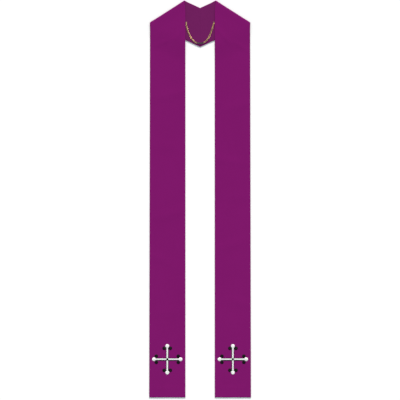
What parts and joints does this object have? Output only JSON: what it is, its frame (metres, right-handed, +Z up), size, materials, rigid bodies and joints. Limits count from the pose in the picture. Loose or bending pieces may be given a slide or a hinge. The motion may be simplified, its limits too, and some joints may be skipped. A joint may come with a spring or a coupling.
{
  "type": "clerical stole",
  "caption": "Lined purple clerical stole laid flat, folded over at the shoulders, with a hanging chain behind the neck and an embroidered cross above each hem.",
  "frame": {"origin": "middle of the footprint, on the surface that the stole lies on", "axes": "+Y from the hems to the neck, +X to the right seen from above with the neck at the top, +Z up off the surface"},
  "size_m": [0.357, 1.3921, 0.0064],
  "materials": {
    "face_cloth": "plain woven purple cloth, matt",
    "lining_cloth": "plum lining, slightly smoother than the face",
    "white_thread": "white satin stitch",
    "black_thread": "black satin stitch",
    "gilt_metal": "gilt, worn dull in the middle of the chain"
  },
  "bodies": {
    "root": {"face_left": "face_cloth", "face_right": "face_cloth", "lining_left": "lining_cloth", "lining_right": "lining_cloth", "neck_chain": "gilt_metal", "chain_ring_left": "gilt_metal", "chain_ring_right": "gilt_metal", "cross_left": "white_thread", "cross_left_bud_1": "black_thread", "cross_left_bud_2": "black_thread", "cross_left_bud_3": "black_thread", "cross_left_bud_4": "black_thread", "cross_left_bud_5": "black_thread", "cross_left_bud_6": "black_thread", "cross_left_bud_7": "black_thread", "cross_left_bud_8": "black_thread", "cross_right": "white_thread", "cross_right_bud_1": "black_thread", "cross_right_bud_2": "black_thread", "cross_right_bud_3": "black_thread", "cross_right_bud_4": "black_thread", "cross_right_bud_5": "black_thread", "cross_right_bud_6": "black_thread", "cross_right_bud_7": "black_thread", "cross_right_bud_8": "black_thread"}
  },
  "joints": []
}
